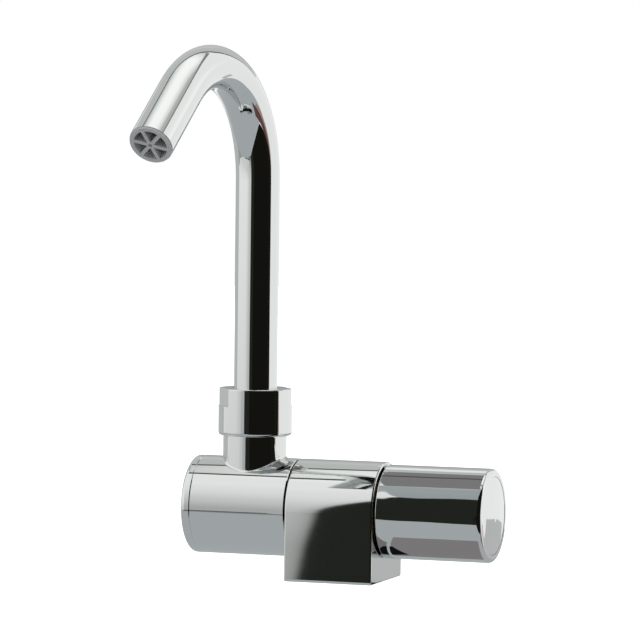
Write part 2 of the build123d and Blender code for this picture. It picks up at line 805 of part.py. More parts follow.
# Rubber seat seal between the block's seat and the fixed disc
with BuildPart() as seat_seal:
    with BuildSketch(station_plane(seat_face)):
        Circle(disc_radius)
        Circle(seat_seal_bore_diameter / 2, mode=Mode.SUBTRACT)
    extrude(amount=seat_seal_length)
finish(seat_seal, "seat_seal")

# Fixed ceramic disc, keyed into the housing by two lugs
with BuildPart() as fixed_disc:
    with BuildSketch(station_plane(fixed_disc_start)):
        Circle(disc_radius)
        Rectangle(disc_lug_width, 2 * cartridge_radius - 2 * slide_clearance)
    extrude(amount=disc_thickness)
    for way in disc_ports(station_plane(fixed_disc_start), 0):
        extrude(way, amount=disc_thickness, mode=Mode.SUBTRACT)
finish(fixed_disc, "fixed_disc")

# Turning ceramic disc, a quarter turn out of line with the fixed one when the tap is shut
tang_radius = disc_radius - slide_clearance
with BuildPart() as turning_disc:
    with BuildSketch(station_plane(turning_disc_start)):
        Circle(tang_radius)
    extrude(amount=disc_thickness)
    for way in disc_ports(station_plane(turning_disc_start), quarter_turn):
        extrude(way, amount=disc_thickness, mode=Mode.SUBTRACT)
    with BuildSketch(station_plane(turning_disc_start + disc_thickness)):
        Rectangle(2 * disc_radius, tang_width + 2 * slide_clearance)
    extrude(amount=-(tang_length + slide_clearance), mode=Mode.SUBTRACT)
finish(turning_disc, "turning_disc")

# Valve spindle: a driving blade, a flange with a stop lug, seal grooves, a clip groove, serrations
stem_seal_floor = stem_radius - stem_seal_depth
stem_seal_places = [
    stem_start + stem_seal_first + index * stem_seal_pitch for index in range(stem_seal_count)
]
with BuildPart() as valve_spindle:
    profile = [
        (stem_start, 0),
        (stem_start, tang_radius),
        (stem_start + stem_flange_thickness, tang_radius),
        (stem_start + stem_flange_thickness, stem_radius),
        (hub_start, stem_radius),
        (hub_start, 0),
    ]
    revolve(section(axis_plane, profile), axis=barrel_axis)
    with BuildSketch(station_plane(stem_start)):
        Rectangle(2 * tang_radius, tang_width)
        Circle(tang_radius, mode=Mode.INTERSECT)
    extrude(amount=-(tang_length - disc_gap))
    lug_plane = station_plane(stem_start + stem_flange_thickness)
    lug = sector(lug_plane, stem_radius - slide_clearance, tang_radius, stop_lug_start, stop_lug_angle)
    extrude(lug, amount=stop_lug_length)
    with BuildSketch(station_plane(hub_start)):
        Polygon(*serrated(serration_tip_radius, serration_root_radius), align=None)
    extrude(amount=stem_end - hub_start)
    seats = grooves(axis_plane, stem_seal_places, stem_seal_width, stem_seal_floor, stem_radius + overrun)
    revolve(seats, axis=barrel_axis, mode=Mode.SUBTRACT)
    clip_seat = grooves(
        axis_plane,
        [clip_start + clip_thickness / 2],
        clip_thickness + 2 * slide_clearance,
        stem_radius - clip_depth,
        stem_radius + overrun,
    )
    revolve(clip_seat, axis=barrel_axis, mode=Mode.SUBTRACT)
    with Locations(station_plane(stem_end)):
        Hole(radius=knob_screw_thread_diameter / 2, depth=knob_screw_hole_depth)
finish(valve_spindle, "valve_spindle")

stem_cord = (stem_radius - stem_seal_floor) / 2 - seal_clearance
with BuildPart() as stem_seals:
    centres = [(place, stem_seal_floor + seal_clearance + stem_cord) for place in stem_seal_places]
    revolve(cords(axis_plane, centres, stem_cord), axis=barrel_axis)
finish(stem_seals, "stem_seals")

# Open spring clip that keeps the spindle in the housing
with BuildPart() as spindle_clip:
    clip_bore = stem_radius - clip_depth + slide_clearance
    with BuildSketch(station_plane(clip_start)):
        Circle(clip_bore + clip_width)
        Circle(clip_bore, mode=Mode.SUBTRACT)
        with Locations((0, clip_bore + clip_width)):
            Rectangle(clip_opening, 2 * (clip_bore + clip_width), mode=Mode.SUBTRACT)
    extrude(amount=clip_thickness)
finish(spindle_clip, "spindle_clip")

# Control knob: a chromed shell with a hub for the insert and a pocket for the screw
with BuildPart() as control_knob:
    profile = [
        (knob_left, knob_bore_radius),
        (knob_left, knob_radius),
        (knob_right, knob_radius),
        (knob_right, knob_cap_radius + knob_cap_clearance),
        (cap_seat, knob_cap_radius + knob_cap_clearance),
        (cap_seat, knob_pocket_radius),
        (web_end, knob_pocket_radius),
        (web_end, knob_screw_thread_diameter / 2 + knob_screw_clearance),
        (web_start, knob_screw_thread_diameter / 2 + knob_screw_clearance),
        (web_start, knob_bore_radius),
    ]
    revolve(section(axis_plane, profile), axis=barrel_axis)
    rims = control_knob.edges().filter_by(GeomType.CIRCLE).sort_by(SortBy.RADIUS)[-2:].sort_by(Axis.X)
    fillet(rims[1], radius=knob_rim_radius)
    skirt = control_knob.edges().filter_by(GeomType.CIRCLE).sort_by(SortBy.RADIUS)[-2:].sort_by(Axis.X)[0]
    fillet(skirt, radius=knob_skirt_radius)
    with BuildSketch(station_plane(web_start)):
        Circle(knob_hub_radius)
        RegularPolygon(insert_size / 2, 6, major_radius=False, mode=Mode.SUBTRACT)
    extrude(amount=-knob_hub_length)
finish(control_knob, "control_knob")

# Acetal insert between the serrated spindle and the knob's hexagonal hub
with BuildPart() as knob_insert:
    with BuildSketch(station_plane(hub_start)):
        RegularPolygon(insert_size / 2 - seat_clearance, 6, major_radius=False)
        grip = serrated(serration_tip_radius + seat_clearance, serration_root_radius + seat_clearance)
        Polygon(*grip, align=None, mode=Mode.SUBTRACT)
    extrude(amount=knob_hub_length - insert_end_gap)
finish(knob_insert, "knob_insert")

# Slotted screw that holds the knob on the spindle
with BuildPart() as knob_screw:
    with BuildSketch(station_plane(web_end)):
        Circle(knob_screw_head_radius)
    extrude(amount=knob_screw_head_height)
    fillet(knob_screw.faces().sort_by(Axis.X)[-1].edges(), radius=knob_screw_head_height / 2)
    with BuildSketch(station_plane(web_end)):
        Circle(knob_screw_thread_diameter / 2 - seat_clearance)
    extrude(amount=-(knob_web + stem_end_gap + knob_screw_length))
    with BuildSketch(station_plane(web_end + knob_screw_head_height)):
        Rectangle(knob_screw_slot_width, 2 * knob_screw_head_radius)
    extrude(amount=-knob_screw_slot_depth, mode=Mode.SUBTRACT)
finish(knob_screw, "knob_screw")

# Slightly crowned cap in the end of the knob
with BuildPart() as knob_cap:
    face_edge = cap_seat + knob_cap_edge
    crown_top = face_edge + knob_cap_crown
    crown_radius = (knob_cap_radius**2 + knob_cap_crown**2) / (2 * knob_cap_crown)
    spigot_radius = knob_pocket_radius - seat_clearance
    with BuildSketch(axis_plane):
        with BuildLine():
            Polyline(
                (crown_top, 0),
                (cap_seat, 0),
                (cap_seat, spigot_radius - knob_cap_spigot_wall),
                (cap_seat - knob_cap_spigot_length, spigot_radius - knob_cap_spigot_wall),
                (cap_seat - knob_cap_spigot_length, spigot_radius),
                (cap_seat, spigot_radius),
                (cap_seat, knob_cap_radius),
                (face_edge, knob_cap_radius),
            )
            RadiusArc((face_edge, knob_cap_radius), (crown_top, 0), crown_radius)
        make_face()
    revolve(axis=barrel_axis)
finish(knob_cap, "knob_cap")
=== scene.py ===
# %% [markdown]
# Folding caravan tap: the looks
#
# The tap is a fold-down tap for a small sink. Nearly all of it is polished chrome plate over brass, and
# chrome has no colour of its own to speak of: it shows the room. So half of the work here is the studio,
# the dark card in front and the pale tent around it, and the other half is clean, exact surfaces for them
# to be seen in.

# %% Load the fixed frame
from math import pi, radians

import bpy
from mathutils import Matrix, Vector


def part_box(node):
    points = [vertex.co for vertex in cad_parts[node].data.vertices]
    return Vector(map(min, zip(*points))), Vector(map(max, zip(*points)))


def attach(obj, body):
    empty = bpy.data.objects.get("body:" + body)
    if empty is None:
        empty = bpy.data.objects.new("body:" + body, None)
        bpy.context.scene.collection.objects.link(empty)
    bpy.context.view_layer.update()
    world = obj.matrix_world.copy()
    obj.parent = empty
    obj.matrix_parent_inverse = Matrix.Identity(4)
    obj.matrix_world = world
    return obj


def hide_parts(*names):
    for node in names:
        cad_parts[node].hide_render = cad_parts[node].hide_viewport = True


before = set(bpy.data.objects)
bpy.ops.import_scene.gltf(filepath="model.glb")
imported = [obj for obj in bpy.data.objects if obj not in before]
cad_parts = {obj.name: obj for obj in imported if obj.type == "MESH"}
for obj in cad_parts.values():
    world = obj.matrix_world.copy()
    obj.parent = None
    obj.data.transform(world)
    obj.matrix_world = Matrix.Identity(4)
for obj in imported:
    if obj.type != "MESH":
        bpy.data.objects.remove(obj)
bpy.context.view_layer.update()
MM = 0.001

# %% [markdown]
# The frame has its origin in the foot's underside, with Z up and the knob towards +X. The sizes of the main
# pieces are read back here.

# %% Read the main sizes from the frame
for name in ("tap_body", "swivel_barrel", "control_knob", "spout_tube"):
    low, high = (Vector(corner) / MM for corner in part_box(name))
    print(name, [round(value, 1) for value in high - low], "mm")

# %% [markdown]
# The camera stands where the photographer's did: about a metre and a half away with a long lens, to the
# right of the tap's front and a little above it. These are real distances and angles.

# %% Set the camera
camera_azimuth = radians(18.681)
camera_elevation = radians(2.911)
camera_roll = radians(0.663)
camera_distance = 1541.65 * MM
camera_lens = 237.56
camera_target = Vector((-9.9, 0, 94.43)) * MM

turn = Matrix.Rotation(camera_azimuth, 4, "Z")
tilt = Matrix.Rotation(pi / 2 - camera_elevation, 4, "X")
roll = Matrix.Rotation(camera_roll, 4, "Z")
camera_data = bpy.data.cameras.new("camera")
camera_data.lens = camera_lens
camera_data.sensor_width = 36
camera_data.clip_end = 20
camera = bpy.data.objects.new("camera", camera_data)
bpy.context.scene.collection.objects.link(camera)
view_turn = turn @ tilt @ roll
camera_place = camera_target + view_turn @ Vector((0, 0, camera_distance))
camera.matrix_world = Matrix.Translation(camera_place) @ view_turn
bpy.context.scene.camera = camera
bpy.context.scene.view_settings.view_transform = "Standard"
print("camera at", [round(value, 3) for value in camera.matrix_world.translation])

# %% [markdown]
# Every material is a small tree of nodes, so three helpers come first: one turns an sRGB hex value into
# Blender's linear numbers, one adds a node with its settings and links, and one starts a material.

# %% Material helpers
def linear(hex_colour):
    """Linear RGBA from an sRGB hex value such as "C0C4C8"."""
    channels = [int(hex_colour[i:i + 2], 16) / 255 for i in (0, 2, 4)]
    return [c / 12.92 if c <= 0.04045 else ((c + 0.055) / 1.055) ** 2.4 for c in channels] + [1]


def add_node(tree, kind, settings=None, links=None):
    """Adds a node, sets its properties and sockets, and links other nodes' outputs to its inputs."""
    node = tree.nodes.new(kind)
    for name, value in (settings or {}).items():
        if isinstance(name, int) or name in node.inputs:
            node.inputs[name].default_value = value
        else:
            setattr(node, name, value)
    for name, output in (links or {}).items():
        tree.links.new(output, node.inputs[name])
    return node


def start_material(name):
    """A new material with an empty tree, and its output node."""
    material = bpy.data.materials.new(name)
    material.use_nodes = True
    tree = material.node_tree
    tree.nodes.clear()
    return material, tree, add_node(tree, "ShaderNodeOutputMaterial")


def dress(node_names, material):
    """Gives the named CAD nodes one material."""
    for name in node_names:
        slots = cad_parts[name].material_slots
        for slot in slots:
            slot.material = material


print("grey of hex 808080 in linear light:", round(linear("808080")[0], 3))

# %% [markdown]
# Chrome plate is a few tenths of a micron of chromium over bright nickel, on brass that was buffed before
# plating. It is a true mirror, close to neutral. Buffing leaves it very slightly wavy over some 12 mm: least
# on the drawn tube, more on the cast pieces and most on the thin-walled knob. Wiping leaves hairlines, which
# only widen its highlights a little.

# %% Chrome plate
wave_length = 12 * MM
hairline_length = 0.4 * MM


def make_chrome(name, colour, polish, wave_depth):
    """Chrome plate of a polish, with waves of a depth in metres left by the buffing wheel."""
    material, tree, output = start_material(name)
    place = add_node(tree, "ShaderNodeTexCoord")
    waves = add_node(tree, "ShaderNodeTexNoise", {"Scale": 1 / wave_length, "Detail": 0.5},
                     {"Vector": place.outputs["Object"]})
    hairlines = add_node(tree, "ShaderNodeTexNoise", {"Scale": 1 / hairline_length, "Detail": 4.0},
                         {"Vector": place.outputs["Object"]})
    sheen_of_wiping = add_node(
        tree, "ShaderNodeMapRange",
        {"From Min": 0.3, "From Max": 0.7, "To Min": polish, "To Max": polish * 1.8},
        {"Value": hairlines.outputs["Fac"]})
    relief = add_node(tree, "ShaderNodeBump", {"Strength": 1.0, "Distance": wave_depth},
                      {"Height": waves.outputs["Fac"]})
    plate = add_node(tree, "ShaderNodeBsdfPrincipled", {"Base Color": linear(colour), "Metallic": 1.0},
                     {"Roughness": sheen_of_wiping.outputs["Result"], "Normal": relief.outputs["Normal"]})
    tree.links.new(plate.outputs["BSDF"], output.inputs["Surface"])
    return material


def swell(material, rise, twist):
    """Adds the swell of a hand-buffed foot: rise and twist say how far its faces lean."""
    tree = material.node_tree
    plate = next(node for node in tree.nodes if node.type == "BSDF_PRINCIPLED")
    place = next(node for node in tree.nodes if node.type == "TEX_COORD")
    fine_relief = plate.inputs["Normal"].links[0].from_socket
    axes = add_node(tree, "ShaderNodeSeparateXYZ", {}, {"Vector": place.outputs["Object"]})
    fall = add_node(tree, "ShaderNodeMapRange",
                    {"interpolation_type": "SMOOTHERSTEP", "From Min": foot_swell[0],
                     "From Max": foot_swell[1], "To Min": 1.0, "To Max": 0.0},
                    {"Value": axes.outputs["Z"]})
    upright = add_node(tree, "ShaderNodeBump", {"Strength": 1.0, "Distance": rise},
                       {"Height": fall.outputs["Result"], "Normal": fine_relief})
    above = add_node(tree, "ShaderNodeMath", {"operation": "SUBTRACT", 1: foot_middle},
                     {0: axes.outputs["Z"]})
    lean = add_node(tree, "ShaderNodeMath", {"operation": "MULTIPLY"},
                    {0: above.outputs["Value"], 1: axes.outputs["X"]})
    turned = add_node(tree, "ShaderNodeBump", {"Strength": 1.0, "Distance": twist},
                      {"Height": lean.outputs["Value"], "Normal": upright.outputs["Normal"]})
    tree.links.new(turned.outputs["Normal"], plate.inputs["Normal"])


foot_swell = (6 * MM, 44 * MM)
foot_middle = 19 * MM
chrome_on_tube = make_chrome("chrome_plate_on_drawn_tube", "DEE1DF", 0.02, 0.004 * MM)
chrome_on_casting = make_chrome("chrome_plate_on_buffed_casting", "DEE1DF", 0.025, 0.015 * MM)
chrome_on_knob = make_chrome("chrome_plate_on_thin_shell", "DEE1DF", 0.025, 0.13 * MM)
dress(["spout_tube"], chrome_on_tube)
chrome_on_foot = make_chrome("chrome_plate_on_square_foot", "DEE1DF", 0.025, 0.015 * MM)
swell(chrome_on_foot, 1.5 * MM, 0.4)
dress(["tap_body"], chrome_on_foot)
dress(["swivel_barrel", "barrel_end_cap", "union_nut"], chrome_on_casting)
dress(["control_knob", "knob_cap"], chrome_on_knob)
print("chrome plate on 7 nodes")

# %% [markdown]
# The rest shows only through gaps and from below: machined brass, black rubber, white acetal, stainless
# steel and lapped ceramic, and the grey moulded plug in the mouth of the spout.

# %% Other materials
def make_solid(name, colour, roughness, metallic, grain, relief_depth, patchiness):
    """A plain material whose tone and relief vary by a fine grain of a real size."""
    material, tree, output = start_material(name)
    place = add_node(tree, "ShaderNodeTexCoord")
    speckle = add_node(tree, "ShaderNodeTexNoise", {"Scale": 1 / grain, "Detail": 3.0},
                       {"Vector": place.outputs["Object"]})
    darker = [channel * (1 - patchiness) for channel in linear(colour)[:3]] + [1]
    tone = add_node(tree, "ShaderNodeMix", {"data_type": "RGBA"}, {"Factor": speckle.outputs["Fac"]})
    tone.inputs[6].default_value = linear(colour)
    tone.inputs[7].default_value = darker
    relief = add_node(tree, "ShaderNodeBump", {"Strength": 0.4, "Distance": relief_depth},
                      {"Height": speckle.outputs["Fac"]})
    surface = add_node(tree, "ShaderNodeBsdfPrincipled", {"Metallic": metallic, "Roughness": roughness},
                       {"Base Color": tone.outputs[2], "Normal": relief.outputs["Normal"]})
    tree.links.new(surface.outputs["BSDF"], output.inputs["Surface"])
    return material


machined_brass = make_solid("machined_brass", "C9A557", 0.28, 1.0, 0.3 * MM, 0.004 * MM, 0.1)
nitrile_rubber = make_solid("nitrile_rubber", "1A1A1B", 0.55, 0.0, 0.2 * MM, 0.01 * MM, 0.25)
white_acetal = make_solid("white_acetal", "DAD8D0", 0.35, 0.0, 0.5 * MM, 0.004 * MM, 0.05)
stainless_steel = make_solid("stainless_steel", "A9A8A5", 0.22, 1.0, 0.3 * MM, 0.003 * MM, 0.08)
lapped_ceramic = make_solid("lapped_alumina", "EDEBE2", 0.12, 0.0, 0.4 * MM, 0.001 * MM, 0.03)
grey_moulding = make_solid("grey_moulded_acetal", "A3A6A7", 0.42, 0.0, 0.35 * MM, 0.01 * MM, 0.12)
dress(["pivot_spindle", "cartridge_body", "valve_spindle", "spout_ferrule", "retaining_washer"],
      machined_brass)
dress(["foot_seal", "pivot_seals", "cartridge_seal", "seat_seal", "end_cap_seal", "spout_seals",
       "stem_seals"], nitrile_rubber)
dress(["inner_thrust_washer", "outer_thrust_washer", "slip_ring", "knob_insert"], white_acetal)
dress(["retaining_screw", "stop_pin", "spindle_clip", "knob_screw"], stainless_steel)
dress(["fixed_disc", "turning_disc"], lapped_ceramic)
dress(["flow_straightener"], grey_moulding)
print(len(bpy.data.materials), "materials in the file so far")

# %% [markdown]
# The plug in the mouth is the one CAD piece that gets a finer stand-in. It is a moulding: a flange, a stem
# and six wedge-shaped ways between the spokes, open right through as in the solid. The ways narrow inwards
# by the draft that lets a moulding leave its tool, so their walls catch the light. The spokes are turned to
# where the photograph shows them. The plug is made lying flat at the origin, with its face up, and is then
# turned into the mouth.

# %% Plug in the mouth
mouth_centre = Vector((-42.762, -87.984, 158.597)) * MM
mouth_across = Vector((-0.99572, 0.09237, 0.0))
mouth_out = Vector((-0.07178, -0.77382, -0.62932))
flange_radius, flange_height = 7.7 * MM, 0.8 * MM
stem_radius, stem_length = 6.9 * MM, 7.9 * MM
way_radius, way_inner_radius = 6.3 * MM, 4.2 * MM
spoke_width, spoke_angle, hub_radius = 1.3 * MM, 42, 1.5 * MM
dimple_radius, dimple_depth = 0.7 * MM, 0.6 * MM
spare = 0.4 * MM
edge_rounding = 0.1 * MM
close_after_cut, close_after_rounding = 0.08 * MM, 0.01 * MM


def rod(lower_radius, upper_radius, bottom, top, sides=96):
    """A solid rod or cone about Z from one height to another."""
    bpy.ops.object.select_all(action="DESELECT")
    bpy.ops.mesh.primitive_cone_add(vertices=sides, radius1=lower_radius, radius2=upper_radius,
                                    depth=top - bottom, location=(0, 0, (bottom + top) / 2))
    bpy.ops.object.transform_apply(location=True, rotation=False, scale=False)
    return bpy.context.active_object


def combine(piece, tool, operation):
    """Joins a tool to a piece or cuts it away, and removes the tool."""
    step = piece.modifiers.new(operation, "BOOLEAN")
    step.operation = operation
    step.solver = "EXACT"
    step.object = tool
    bpy.ops.object.select_all(action="DESELECT")
    bpy.context.view_layer.objects.active = piece
    bpy.ops.object.modifier_apply(modifier=step.name)
    bpy.data.objects.remove(tool)


def merge_close_points(piece, distance):
    """Merges the points that a cut or a bevel left almost on top of each other."""
    bpy.ops.object.select_all(action="DESELECT")
    bpy.context.view_layer.objects.active = piece
    piece.select_set(True)
    bpy.ops.object.mode_set(mode="EDIT")
    bpy.ops.mesh.select_all(action="SELECT")
    bpy.ops.mesh.remove_doubles(threshold=distance)
    bpy.ops.mesh.dissolve_degenerate(threshold=distance)
    bpy.ops.object.mode_set(mode="OBJECT")


plug = rod(flange_radius, flange_radius, 0, flange_height)
plug.name = "moulded_straightener"
combine(plug, rod(stem_radius, stem_radius, -stem_length, flange_height / 2), "UNION")
ways = rod(way_inner_radius, way_radius, -stem_length - spare, flange_height + spare)
for number in range(3):
    bpy.ops.object.select_all(action="DESELECT")
    bpy.ops.mesh.primitive_cube_add(size=1.0)
    spoke = bpy.context.active_object
    turn = Matrix.Rotation(radians(spoke_angle + number * 60), 4, "Z")
    spoke.data.transform(turn @ Matrix.Diagonal((3 * way_radius, spoke_width, 4 * stem_length, 1)))
    combine(ways, spoke, "DIFFERENCE")
combine(ways, rod(hub_radius, hub_radius, -2 * stem_length, 2 * stem_length, 48), "DIFFERENCE")
combine(plug, ways, "DIFFERENCE")
combine(plug, rod(dimple_radius, dimple_radius, flange_height - dimple_depth, flange_height + spare, 24),
        "DIFFERENCE")
merge_close_points(plug, close_after_cut)
rounding = plug.modifiers.new("rounding", "BEVEL")
rounding.width = edge_rounding
rounding.segments = 2
rounding.limit_method = "ANGLE"
rounding.angle_limit = radians(40)
bpy.ops.object.modifier_apply(modifier=rounding.name)
merge_close_points(plug, close_after_rounding)
into_mouth = Matrix((mouth_across, mouth_out.cross(mouth_across), mouth_out)).transposed().to_4x4()
plug.data.transform(Matrix.Translation(mouth_centre) @ into_mouth)
plug.data.materials.clear()
plug.data.materials.append(grey_moulding)
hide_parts("flow_straightener")
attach(plug, "spout")
print("plug:", len(plug.data.polygons), "faces")

# %% [markdown]
# The studio. Chrome shows the room, so the room is built, from what the photograph's reflections tell: a
# black cloth that runs from the front round to the right, a grey card above it, a softbox overhead with a
# thin dark frame, grey walls on the left and behind, and a blue-grey table that stands with one corner to
# the front. Each is a flat card that only mirror reflections see. So the plain floor and the plain light
# stay as they are for everything else, and the cards could be hung just as well in a real studio.

# %% Cards that only mirrors see
X, Y, Z = (1, 0, 0), (0, 1, 0), (0, 0, 1)


def only_in_mirrors(card):
    """Hides a card from all but mirror reflections."""
    card.visible_camera = False
    card.visible_diffuse = False
    card.visible_transmission = False
    card.visible_shadow = False
    card.visible_volume_scatter = False


def new_card(name, material):
    """A square card of unit size at the origin, not placed yet."""
    bpy.ops.object.select_all(action="DESELECT")
    bpy.ops.mesh.primitive_plane_add(size=1.0)
    card = bpy.context.active_object
    card.name = name
    card.data.materials.append(material)
    only_in_mirrors(card)
    return card


def stand_card(name, centre, across, upwards, width, height, material):
    """A card about a centre in mm, spanned by two directions. It faces along across x upwards."""
    card = new_card(name, material)
    card.data.transform(Matrix.Diagonal((width * MM, height * MM, 1, 1)))
    across = Vector(across).normalized()
    upwards = Vector(upwards).normalized()
    spread = Matrix((across, upwards, across.cross(upwards))).transposed().to_4x4()
    card.matrix_world = Matrix.Translation(Vector(centre) * MM) @ spread
    return card


def cornered_card(name, corners, material):
    """A card with its four corners at given points in mm, in turn round its edge."""
    card = new_card(name, material)
    for vertex, turn in zip(card.data.vertices, (0, 1, 3, 2)):
        vertex.co = Vector(corners[turn]) * MM
    return card


print("cards are hidden from all but mirror reflections")

# %% [markdown]
# A card gets one even tone, a tone on its front side only, or a tone that changes over its height, as on a
# wall that is lit unevenly.

# %% Plain, one-sided and graded tones
def card_material(name, tone, level=1.0):
    """A card of one even tone."""
    material, tree, output = start_material(name)
    glow = add_node(tree, "ShaderNodeEmission", {"Color": linear(tone), "Strength": level})
    tree.links.new(glow.outputs["Emission"], output.inputs["Surface"])
    return material


def one_sided(name, tone):
    """A card that is seen from its front only."""
    material, tree, output = start_material(name)
    side = add_node(tree, "ShaderNodeNewGeometry")
    glow = add_node(tree, "ShaderNodeEmission", {"Color": linear(tone), "Strength": 1.0})
    clear = add_node(tree, "ShaderNodeBsdfTransparent")
    blend = add_node(tree, "ShaderNodeMixShader", {}, {"Fac": side.outputs["Backfacing"]})
    tree.links.new(glow.outputs["Emission"], blend.inputs[1])
    tree.links.new(clear.outputs["BSDF"], blend.inputs[2])
    tree.links.new(blend.outputs["Shader"], output.inputs["Surface"])
    return material


def graded(name, height, stops):
    """A wall lit unevenly: stops of (mm above the card's lower edge, tone) over its height."""
    material, tree, output = start_material(name)
    place = add_node(tree, "ShaderNodeTexCoord")
    axes = add_node(tree, "ShaderNodeSeparateXYZ", {}, {"Vector": place.outputs["Object"]})
    share = add_node(tree, "ShaderNodeMapRange", {"From Min": -height / 2 * MM, "From Max": height / 2 * MM},
                     {"Value": axes.outputs["Y"]})
    fade = add_node(tree, "ShaderNodeValToRGB", {}, {"Fac": share.outputs["Result"]})
    set_ramp(fade.color_ramp, [(level / height, linear(tone)) for level, tone in stops])
    glow = add_node(tree, "ShaderNodeEmission", {"Strength": 1.0}, {"Color": fade.outputs["Color"]})
    tree.links.new(glow.outputs["Emission"], output.inputs["Surface"])
    return material


def set_ramp(ramp, stops):
    """Fills a colour ramp with stops of (position, colour)."""
    while len(ramp.elements) < len(stops):
        ramp.elements.new(0.5)
    for element, (position, colour) in zip(ramp.elements, stops):
        element.position = position
        element.color = colour


print("three kinds of card tone are ready")

# %% [markdown]
# A real flag that stands close to the tap, or a painted soft shade, has no sharp edge in the chrome. Here a
# card fades out with the distance from a core rectangle.

# %% Cards with a soft edge
def soft_card(name, centre, across, upwards, core_width, core_height, steps, tone, level=1.0,
              squeeze=1.0):
    """A card with a full core and an edge that fades in steps of (mm from the core, cover).

    Squeeze makes the whole card, edge and all, narrower across.
    """
    material, tree, output = start_material(name + "_cloth")
    reach = steps[-1][0]
    place = add_node(tree, "ShaderNodeTexCoord")
    size = add_node(tree, "ShaderNodeVectorMath", {"operation": "ABSOLUTE"}, {0: place.outputs["Object"]})
    beyond = add_node(tree, "ShaderNodeVectorMath", {"operation": "SUBTRACT"}, {0: size.outputs["Vector"]})
    beyond.inputs[1].default_value = (core_width / 2 * MM, core_height / 2 * MM, 0)
    outside = add_node(tree, "ShaderNodeVectorMath", {"operation": "MAXIMUM"}, {0: beyond.outputs["Vector"]})
    outside.inputs[1].default_value = (0, 0, 0)
    distance = add_node(tree, "ShaderNodeVectorMath", {"operation": "LENGTH"}, {0: outside.outputs["Vector"]})
    share = add_node(tree, "ShaderNodeMath", {"operation": "DIVIDE", 1: reach * MM},
                     {0: distance.outputs["Value"]})
    fade = add_node(tree, "ShaderNodeValToRGB", {}, {"Fac": share.outputs["Value"]})
    set_ramp(fade.color_ramp, [(away / reach, (cover, cover, cover, 1)) for away, cover in steps])
    clear = add_node(tree, "ShaderNodeBsdfTransparent")
    glow = add_node(tree, "ShaderNodeEmission", {"Color": linear(tone), "Strength": level})
    blend = add_node(tree, "ShaderNodeMixShader", {}, {"Fac": fade.outputs["Color"]})
    tree.links.new(clear.outputs["BSDF"], blend.inputs[1])
    tree.links.new(glow.outputs["Emission"], blend.inputs[2])
    tree.links.new(blend.outputs["Shader"], output.inputs["Surface"])
    card = stand_card(name, centre, across, upwards, core_width + 2 * reach, core_height + 2 * reach,
                      material)
    card.matrix_world = card.matrix_world @ Matrix.Diagonal((squeeze, 1, 1, 1))
    return card


print("soft-edged cards are ready")

# %% [markdown]
# The table. Its front corner is the point of the grey kite that shows under the bend of the spout. The two
# edges that meet there run back to the left and to the right.

# %% Table
table_level = -75
front_corner, right_bend, right_corner = (-190, -485), (250, -40), (1300, 125)
left_corner, back_corner = (-900, -60), (50, 1300)


def on_table(point, height=0):
    """A point over the table, from its plan in mm."""
    return (*point, table_level + height)


table_grey = card_material("table_grey", "B4B8BB")
cornered_card("table", [on_table(p) for p in (front_corner, right_bend, back_corner, left_corner)],
              table_grey)
cornered_card("table_left", [on_table(p) for p in (left_corner, (-300, 900), (-900, 420), (-1500, 0))],
              table_grey)
cornered_card("table_right", [on_table(p) for p in (right_bend, (500, 215), (300, 330), (100, 900))],
              table_grey)
edge_dark = card_material("table_edge_dark", "6A6C6B")
edge_end, edge_height = (-440, -336), 12
cornered_card("table_edge", [on_table(front_corner), on_table(edge_end), on_table(edge_end, edge_height),
                             on_table(front_corner, edge_height)], edge_dark)
print("table at", table_level, "mm, front corner at", front_corner)

# %% [markdown]
# Black cloth stands along the table's right-hand edges. It draws the black band along the knob, the black
# square on the foot and the black stripe up the riser. Its left edge is seen as a soft edge on the foot.

# %% Black cloth
cloth_top = 360
cloth_left = (-138, -412)
run = (Vector(right_bend) - Vector(cloth_left)).to_3d()
cloth_height = cloth_top - table_level
core_start = Vector(cloth_left).to_3d()
core_middle = core_start + run / 2 + Vector((0, 0, (cloth_top + table_level) / 2))
deep_black = card_material("deep_black_cloth", "171613")
cloth_edge = [(0, 1.0), (3, 0.89), (6, 0.62), (10, 0.28), (16, 0.12), (30, 0.0)]
soft_card("front_cloth", core_middle, run, Z, run.length, cloth_height, cloth_edge, "262824")
nearer = core_start + run.normalized() * 150
cornered_card("front_cloth_middle", [(nearer.x, nearer.y + 1, table_level), on_table(right_bend),
                                     (*right_bend, cloth_top), (nearer.x, nearer.y + 1, cloth_top)],
              deep_black)
cornered_card("right_cloth", [on_table(right_bend, -40), on_table(right_corner, -40),
                              (*right_corner, 600), (*right_bend, 600)], deep_black)
dark_red_plan = ((190, -10), (5000, 120), (5000, 215), (200, 100))
cornered_card("dark_red_strip", [on_table(p, 1) for p in dark_red_plan],
              card_material("dark_red_cloth", "674745"))
pale_red_plan = ((260, 102), (5000, 215), (5000, 420), (350, 190))
cornered_card("pale_red_strip", [on_table(p, 1) for p in pale_red_plan],
              card_material("pale_red_cloth", "A68E8D"))
print("front cloth", round(run.length), "mm long and", cloth_height, "mm high")

# %% [markdown]
# A soft dark card beside the cloth's left edge, densest towards the table, is painted shade: it greys the
# lower half of the barrel's front. A fainter soft dark card low on the left is painted shade on the foot of
# the riser.

# %% Painted soft shade
# painted shade: a soft dark card, densest by the table and fading upwards, greys the barrel's lower front
painted_low_shade_steps = [(0, 0.52), (18, 0.49), (58, 0.42), (106, 0.33), (156, 0.28), (211, 0.2), (273, 0.13),
               (345, 0.08), (449, 0.05), (590, 0.0)]
soft_card("painted_low_shade", (-172, -396, -38), X, Z, 230, 76, painted_low_shade_steps, "262824", squeeze=0.285)
# painted shade: a faint soft dark card low on the left greys the foot of the riser
painted_left_shade_steps = [(0, 0.24), (40, 0.2), (90, 0.13), (150, 0.05), (220, 0.0)]
soft_card("painted_left_shade", (-650, -500, -180), Y, Z, 900, 240, painted_left_shade_steps, "262824")
print("gauze fades out over", painted_low_shade_steps[-1][0], "mm before its squeeze")

